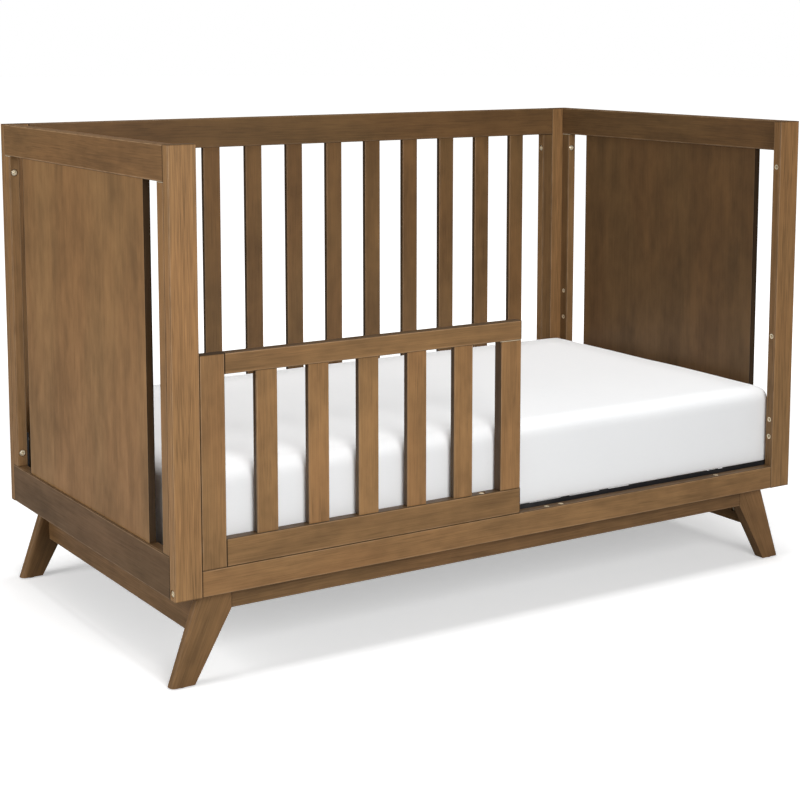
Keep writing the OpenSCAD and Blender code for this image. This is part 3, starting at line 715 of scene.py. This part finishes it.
def plated(name, bright, dull):
    made, tree, shader, coordinates = new_material(name)
    plate = use(tree, metal_plate, Vector=coordinates, Bright=bright, Dull=dull)
    shader.inputs["Metallic"].default_value = 0.5
    finish(tree, shader, plate["Color"], plate["Roughness"], plate["Height"], 0.00004, 0.4)
    return made


brass_nickel = plated("pale_brass_nickel", (0.92, 0.82, 0.62, 1), (0.74, 0.62, 0.42, 1))
zinc = plated("bright_zinc", (0.78, 0.79, 0.80, 1), (0.58, 0.59, 0.62, 1))

fixing_tree, fixing_names, given, result = nodes_tree("fixings", {
    "Head": "Object", "Shank Radius": "Float", "Finish": "Material"})
tree = fixing_tree
turn = facing_its_way(tree)
head = place(tree, "GeometryNodeObjectInfo", {"Object": given["Head"]})
driven = place(tree, "GeometryNodeInstanceOnPoints", {
    "Points": given["Geometry"], "Instance": head.outputs["Geometry"], "Rotation": turn})
# A shank is a rod one metre long under the head, scaled to its own length.
rod = place(tree, "GeometryNodeMeshCylinder", {
    "Vertices": 16, "Depth": 1.0, "Radius": given["Shank Radius"]})
hung = place(tree, "GeometryNodeTransform", {"Translation": (0, 0, -0.5)})
chain(tree, rod, hung)
reach = place(tree, "GeometryNodeInputNamedAttribute", {"Name": "reach"}, data_type="FLOAT")
stretch = place(tree, "ShaderNodeCombineXYZ", {0: 1.0, 1: 1.0, 2: reach.outputs[0]})
shanks = place(tree, "GeometryNodeInstanceOnPoints", {
    "Points": given["Geometry"], "Instance": hung.outputs[0], "Rotation": turn,
    "Scale": stretch.outputs[0]})
both = place(tree, "GeometryNodeJoinGeometry")
for part in (driven, shanks):
    chain(tree, part, both)
realize(tree, given, result, both)


def head_places(name, head_height):
    """Under each head: a point, the way the head faces and the shank's length."""
    places = []
    for low, high, spots in loose_parts(name):
        size = high - low
        along = max(range(3), key=lambda i: size[i])
        middle = (low + high) / 2
        sides = [i for i in range(3) if i != along]
        wide = [np.abs(spots[np.abs(spots[:, along] - end[along]) < 0.0012][:, sides]
                       - np.array([middle[i] for i in sides])).max() for end in (low, high)]
        sign = 1 if wide[1] > wide[0] else -1
        point, way = middle.copy(), Vector()
        way[along] = sign
        point[along] = (high if sign > 0 else low)[along] - sign * head_height
        places.append((point, way, size[along] - head_height))
    return places


head_h, socket_w, shank_r = 0.003, 0.0046, 0.0029
bolt_head = lathe("bolt_head", (
    (0.0057, 0.0), (0.0060, 0.0003), (0.0060, 0.0011), (0.0056, 0.0019), (0.0047, 0.0025),
    (0.0036, 0.0029), (hexagon(socket_w + 0.0005), 0.0030), (hexagon(socket_w), 0.0028),
    (hexagon(socket_w), 0.0010)))
for piece, node in (("frame_bolt_heads", "frame_bolts"), ("end_bolt_heads", "end_bolts"),
                    ("low_rail_bolt_heads", "low_rail_bolts"),
                    ("guard_bolt_heads", "guard_bolts"), ("apron_bolt_heads", "apron_bolts"),
                    ("support_bolt_heads", "support_bolts")):
    made = grown(piece, fixing_tree, fixing_names,
                 points_with_ways(piece + "_places", head_places(node, head_h)),
                 Head=bolt_head, Shank_Radius=shank_r, Finish=brass_nickel)
    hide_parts(node)
    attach(made, "root")

# ---------------------------------------------- inserts, pins, nuts and plate screws
# Brass-nickel inserts are screwed into the posts, stiles and low rail. Steel pins
# locate the guard rail, barrel nuts take the long bolts, and cross-head screws hold
# the leg base to the corner plates.
for name in ("threaded_inserts", "guard_pins", "barrel_nuts"):
    finish_node(name, brass_nickel)
finish_node("plate_screws", zinc)

# ------------------------------------------------------------------- mattress core
# A block of firm foam in a plain white cover, with softly rounded corners. It swells
# a little in the middle of each side, and lies on the wire mat by its own weight.
mattress_low, mattress_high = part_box("mattress")
mattress_mid = (mattress_low + mattress_high) / 2
half = (mattress_high - mattress_low) / 2
plan_round, top_round, low_round = 0.014, 0.026, 0.003
lift_off_wires, core_step, more_depth = 0.0013, 0.0125, 0.002
edge_row = 0.2  # the rows beside the low edge lie at this share of a step from it


def rounded_block(half_size, corner, top_edge, low_edge, step):
    """A closed block of even quads, rounded in plan and along its top and bottom edges."""
    mesh = bmesh.new()
    counts, tiny = [max(2, round(2 * h / step)) for h in half_size], 1e-6
    for flat in range(3):
        u, v = [i for i in range(3) if i != flat]
        for side in (-1, 1):
            grid = {}
            for i in range(counts[u] + 1):
                for j in range(counts[v] + 1):
                    spot = [0.0] * 3
                    spot[flat] = side * half_size[flat]
                    spot[u] = (2 * i / counts[u] - 1) * half_size[u]
                    spot[v] = (2 * j / counts[v] - 1) * half_size[v]
                    grid[i, j] = mesh.verts.new(spot)
            for i in range(counts[u]):
                for j in range(counts[v]):
                    mesh.faces.new((grid[i, j], grid[i + 1, j], grid[i + 1, j + 1],
                                    grid[i, j + 1]))
    bmesh.ops.remove_doubles(mesh, verts=mesh.verts, dist=1e-5)
    bmesh.ops.recalc_face_normals(mesh, faces=mesh.faces)
    eighth = math.pi / 4
    for vertex in mesh.verts:
        x, y, z = vertex.co
        edge = top_edge if z > 0 else low_edge
        into = [max(0.0, abs(p) - (h - corner)) / corner for p, h in zip((x, y), half_size)]
        side_depth = min(half_size[0] - abs(x), half_size[1] - abs(y))
        middle_x = math.copysign(half_size[0] - corner, x)
        middle_y = math.copysign(half_size[1] - corner, y)
        if min(into) > 0:
            length = math.hypot(*into)
            way = Vector((math.copysign(into[0] / length, x),
                          math.copysign(into[1] / length, y)))
            middle = Vector((middle_x, middle_y))
        elif half_size[0] - abs(x) < half_size[1] - abs(y):
            way, middle = Vector((math.copysign(1, x), 0)), Vector((middle_x, y))
        else:
            way, middle = Vector((0, math.copysign(1, y))), Vector((x, middle_y))
        rim = middle + way * corner
        fall = half_size[2] - abs(z)
        if z < 0 and tiny < fall < 1.5 * step:
            fall, z = edge_row * fall, -half_size[2] + edge_row * fall
        if z < 0 and fall < tiny < side_depth < 1.5 * step:
            vertex.co = (*(rim - way * edge_row * side_depth), z)
            continue
        if fall > tiny:
            angle = eighth * (1 - min(1.0, fall / edge))
        else:
            angle = eighth * (1 + min(1.0, side_depth / edge))
        inset, rise = edge * (1 - math.cos(angle)), edge * math.sin(angle)
        if fall > edge:
            vertex.co = (rim.x, rim.y, z)
        elif fall > tiny or side_depth < edge:
            vertex.co = (*(rim - way * inset), math.copysign(half_size[2] - edge + rise, z))
        elif min(into) > 0:
            vertex.co = (*(middle + way * corner * max(into)), z)
    return mesh


foam_mesh = rounded_block((half.x, half.y + more_depth, half.z - lift_off_wires / 2),
                          plan_round, top_round, low_round, core_step)
bmesh.ops.translate(foam_mesh, verts=foam_mesh.verts, vec=(0, 0, lift_off_wires / 2))
foam_data = mesh_from("mattress_core", foam_mesh)
mattress_core = put("mattress_core", foam_data)
foam_rest = np.array([v.co for v in foam_data.vertices])
cloth = mattress_core.modifiers.new("swell", "CLOTH")
cloth.settings.quality = 4
cloth.settings.mass = 0.4
cloth.settings.use_pressure = True
cloth.settings.uniform_pressure_force = 4.0
cloth.settings.tension_stiffness = cloth.settings.compression_stiffness = 40
cloth.settings.bending_stiffness = 12
cloth.settings.effector_weights.gravity = 0
cloth.collision_settings.use_collision = False
for moment in range(1, 21):
    bpy.context.scene.frame_set(moment)
simulated = mattress_core.evaluated_get(bpy.context.evaluated_depsgraph_get())
swelled = np.array([v.co for v in simulated.data.vertices])
mattress_core.modifiers.remove(cloth)
bpy.context.scene.frame_set(1)
# The swelling is small at the ends, which stay clear of the hangers, and at the sides,
# beside the rails. The underside lies still on the wires, so it is held before and
# after the swelling is evened out between neighbouring points.
most = np.array((0.0015, 0.0015, 0.004))
still_below, free_above, evening = 0.012, 0.042, 40
free = np.clip((foam_rest[:, 2:3] + half.z - still_below) / (free_above - still_below), 0, 1)
shift = free * most * np.tanh((swelled - foam_rest) / most)
ends = np.array([edge.vertices[:] for edge in foam_data.edges])
joined = np.bincount(ends.ravel(), minlength=len(shift))[:, None]
for _ in range(evening):
    neighbours = np.zeros_like(shift)
    np.add.at(neighbours, ends[:, 0], shift[ends[:, 1]])
    np.add.at(neighbours, ends[:, 1], shift[ends[:, 0]])
    shift = (shift + neighbours / joined) / 2
settled = foam_rest + free * shift + np.array(mattress_mid)
foam_data.vertices.foreach_set("co", settled.astype(np.float32).ravel())
foam_data.update()
foam_data.shade_smooth()

ticking, tree, shader, coordinates = new_material("mattress_ticking")
weave_group, given, out = group(
    "plain_weave", {"Vector": "Vector", "Threads": "Float"},
    {"Height": "Float", "Slub": "Float"})
threads = scaled(weave_group, given["Vector"], given["Threads"])
weft = place(weave_group, "ShaderNodeSeparateXYZ", {
    0: vectors(weave_group, "SINE", threads)}).outputs
crossed = maths(weave_group, "ADD", maths(weave_group, "ADD", weft[0], weft[1]), weft[2])
give(weave_group, out, Height=times(weave_group, crossed, 0.3),
     Slub=cloudiness(weave_group, given["Vector"], (60, 60, 300), 3))
weave = use(tree, weave_group, Vector=coordinates, Threads=3600.0)
natural = blend_colours(tree, weave["Slub"], (0.70, 0.70, 0.69, 1), (0.84, 0.84, 0.83, 1))
finish(tree, shader, natural, 0.88, weave["Height"], 0.00015)
foam_data.materials.append(ticking)
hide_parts("mattress")
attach(mattress_core, "mattress")

# ------------------------------------------------------------------- fitted sheet
# White cotton percale, cut with a square notch at each corner, sewn to a box and
# drawn under the mattress by elastic in its hem. Only its corners pucker a little.
turned_under, cloth_gap, cloth_thick = 0.060, 0.0012, 0.0005
bottom_rows = mattress_low.z + 0.012
corner_reach, corner_middle = 0.09, 0.06
pucker_top, pucker_fade, pucker_deep, slack_deep = 0.045, 0.10, 0.0011, 0.0007
sheet_mesh = bmesh.new()
sheet_mesh.from_mesh(foam_data)
under = []
for face in sheet_mesh.faces:
    middle = face.calc_center_median()
    if (middle.z < bottom_rows and abs(middle.x) < half.x - turned_under
            and abs(middle.y - mattress_mid.y) < half.y - turned_under):
        under.append(face)
bmesh.ops.delete(sheet_mesh, geom=under, context="FACES")
sheet_mesh.verts.ensure_lookup_table()
sheet_mesh.normal_update()
for vertex in sheet_mesh.verts:
    x, y, z = vertex.co - mattress_mid
    corner_x = max(0.0, abs(x) - (half.x - corner_reach)) / corner_reach
    corner_y = max(0.0, abs(y) - (half.y - corner_reach)) / corner_reach
    near = min(1.0, 2.2 * corner_x * corner_y)
    near *= max(0.0, min(1.0, (pucker_top - z) / pucker_fade))
    around = math.atan2(abs(y) - half.y + corner_middle, abs(x) - half.x + corner_middle)
    on_side = max(0.0, 1 - abs(vertex.normal.z) * 1.6)
    pucker = near * pucker_deep * math.sin(around * 17 + 2.0 * math.sin(z * 35) + x * 3)
    slack = slack_deep * math.sin(x * 9.0 + y * 13.0 + 2.2 * math.sin(x * 3.1 + 5 * z))
    vertex.co += vertex.normal * (cloth_gap + on_side * (pucker + slack))
sheet_data = mesh_from("fitted_sheet", sheet_mesh)
sheet_data.shade_smooth()
fitted_sheet = put("fitted_sheet", sheet_data)
subdivide = fitted_sheet.modifiers.new("fine", "SUBSURF")
subdivide.levels = subdivide.render_levels = 1
thick = fitted_sheet.modifiers.new("cloth", "SOLIDIFY")
thick.thickness, thick.offset = cloth_thick, -1

percale, tree, shader, coordinates = new_material("white_cotton_percale")
weave = use(tree, weave_group, Vector=coordinates, Threads=5200.0)
soft = cloudiness(tree, coordinates, (5, 5, 5), 2)
uneven = maths(tree, "ADD", times(tree, weave["Slub"], 0.5), times(tree, soft, 0.5))
white = blend_colours(tree, uneven, (0.875, 0.885, 0.895, 1), (0.915, 0.92, 0.925, 1))
finish(tree, shader, white, 0.85, weave["Height"], 0.0001, 0.6)
shader.inputs["Sheen Weight"].default_value = 0.15
shader.inputs["Sheen Roughness"].default_value = 0.5
sheet_data.materials.append(percale)
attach(fitted_sheet, "mattress")

# The hem is a flat tube around an elastic, which gathers its cloth into small folds.
hem_w, hem_t, hem_turn, fold = 0.010, 0.0011, 0.040, 0.011
hem_below, swell_out, swell_up, hem_sides, corner_steps = 0.0003, 0.0008, 0.3, 8, 12
hem_x, hem_y = half.x - turned_under, half.y - turned_under
hem_path = []
for quarter, (sign_x, sign_y) in enumerate(((1, 1), (-1, 1), (-1, -1), (1, -1))):
    turn_middle = Vector((sign_x * (hem_x - hem_turn), sign_y * (hem_y - hem_turn)))
    for i in range(corner_steps + 1):
        angle = (quarter + i / corner_steps) * math.pi / 2
        way = Vector((math.cos(angle), math.sin(angle)))
        hem_path.append((turn_middle + way * hem_turn, way))
hem_points, walked = [], 0.0
for (start, way_a), (stop, way_b) in zip(hem_path, hem_path[1:] + hem_path[:1]):
    parts = max(1, round((stop - start).length / (fold / 6)))
    for i in range(parts):
        share = i / parts
        hem_points.append((start.lerp(stop, share), way_a.lerp(way_b, share).normalized(),
                           walked + (stop - start).length * share))
    walked += (stop - start).length
folds = round(walked / fold)
hem_z = mattress_low.z + lift_off_wires - cloth_gap + hem_t / 2 + hem_below
hem_mesh = bmesh.new()
rings = []
for spot, way, far_along in hem_points:
    swing = math.sin(2 * math.pi * folds * far_along / walked)
    ring = []
    for i in range(hem_sides):
        angle = 2 * math.pi * i / hem_sides
        inwards = math.cos(angle) * (hem_w / 2 + swell_out * swing) - hem_w / 2
        flat_spot = spot + way * inwards + mattress_mid.xy
        rise = math.sin(angle) * hem_t / 2 * (1 + swell_up * swing)
        ring.append(hem_mesh.verts.new((*flat_spot, hem_z + rise)))
    rings.append(ring)
for ring, following in zip(rings, rings[1:] + rings[:1]):
    for i in range(hem_sides):
        j = (i + 1) % hem_sides
        hem_mesh.faces.new((ring[i], ring[j], following[j], following[i]))
bmesh.ops.recalc_face_normals(hem_mesh, faces=hem_mesh.faces)
hem_data = mesh_from("sheet_hem", hem_mesh)
hem_data.shade_smooth()
hem_data.materials.append(percale)
sheet_hem = put("sheet_hem", hem_data)
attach(sheet_hem, "mattress")

# ------------------------------------------------------------------------- studio
# A wide white floor, a bright white room, a large soft lamp above and to the front
# left, a lower one on the left and a large lamp overhead.
floor_mesh = bmesh.new()
bmesh.ops.create_circle(floor_mesh, cap_ends=True, segments=64, radius=40)
floor_data = mesh_from("studio_floor", floor_mesh)
floor = put("studio_floor", floor_data)
floor_paint, tree, shader, coordinates = new_material("white_studio_floor")
# The floor glows a little for the camera, more so away from the crib, and is grey for
# the light it throws back on the crib.
least_glow, thrown_back = 0.385, (0.45, 0.45, 0.45, 1)
far = ramp(tree, vectors(tree, "LENGTH", coordinates), 0.95, 3.0)
seen = place(tree, "ShaderNodeLightPath").outputs["Is Camera Ray"]
shader.inputs["Emission Strength"].default_value = 1.0
glow = times(tree, maths(tree, "MAXIMUM", far, least_glow), seen)
tree.links.new(place(tree, "ShaderNodeCombineColor", {0: glow, 1: glow, 2: glow}).outputs[0],
               shader.inputs["Emission Color"])
paint = blend_colours(tree, cloudiness(tree, coordinates, (3, 3, 3), 3),
                      (0.93, 0.93, 0.93, 1), (0.95, 0.95, 0.95, 1))
tree.links.new(blend_colours(tree, seen, thrown_back, paint), shader.inputs["Base Color"])
shader.inputs["Roughness"].default_value = 0.9
shader.inputs["Specular IOR Level"].default_value = 0.1
floor_data.materials.append(floor_paint)

room = bpy.data.worlds.new("white_room")
room.use_nodes = True
bpy.context.scene.world = room
tree = room.node_tree
backdrop = tree.nodes["Background"]
backdrop.inputs["Color"].default_value = (1, 1, 1, 1)
seen = place(tree, "ShaderNodeLightPath").outputs["Is Camera Ray"]
room_light = 0.10
tree.links.new(maths(tree, "ADD", times(tree, seen, 1 - room_light), room_light),
               backdrop.inputs["Strength"])
for name, size, power, spot, aim in (
        ("key", 1.8, 78.0, (-0.8, -3.25, 1.6), (0.1, 0, 0.5)),
        ("side", 1.6, 44.0, (-3.1, 0.1, 1.3), (-0.6, 0, 0.5)),
        ("overhead", 2.4, 143.0, (0.15, -0.15, 4.6), (0.15, -0.15, 0))):
    lamp_data = bpy.data.lights.new(name, "AREA")
    lamp_data.shape, lamp_data.size, lamp_data.energy = "SQUARE", size, power
    lamp = put(name, lamp_data)
    lamp.location = spot
    lamp.rotation_mode = "QUATERNION"
    lamp.rotation_quaternion = (Vector(aim) - Vector(spot)).to_track_quat("-Z", "Y")

camera_data = bpy.data.cameras.new("camera")
camera_data.lens, camera_data.sensor_width = 77.22, 36.0
camera_data.shift_x, camera_data.shift_y = 0.0044, -0.175
camera_data.clip_start, camera_data.clip_end = 0.05, 200.0
camera = put("camera", camera_data)
camera.location = (-1.8226, -2.8207, 1.0660)
yaw, pitch = math.radians(32.55), math.radians(7.5)
forward = Vector((math.sin(yaw) * math.cos(pitch), math.cos(yaw) * math.cos(pitch),
                  -math.sin(pitch)))
camera.rotation_mode = "QUATERNION"
camera.rotation_quaternion = forward.to_track_quat("-Z", "Y")
bpy.context.scene.camera = camera
bpy.context.scene.view_settings.view_transform = "Standard"
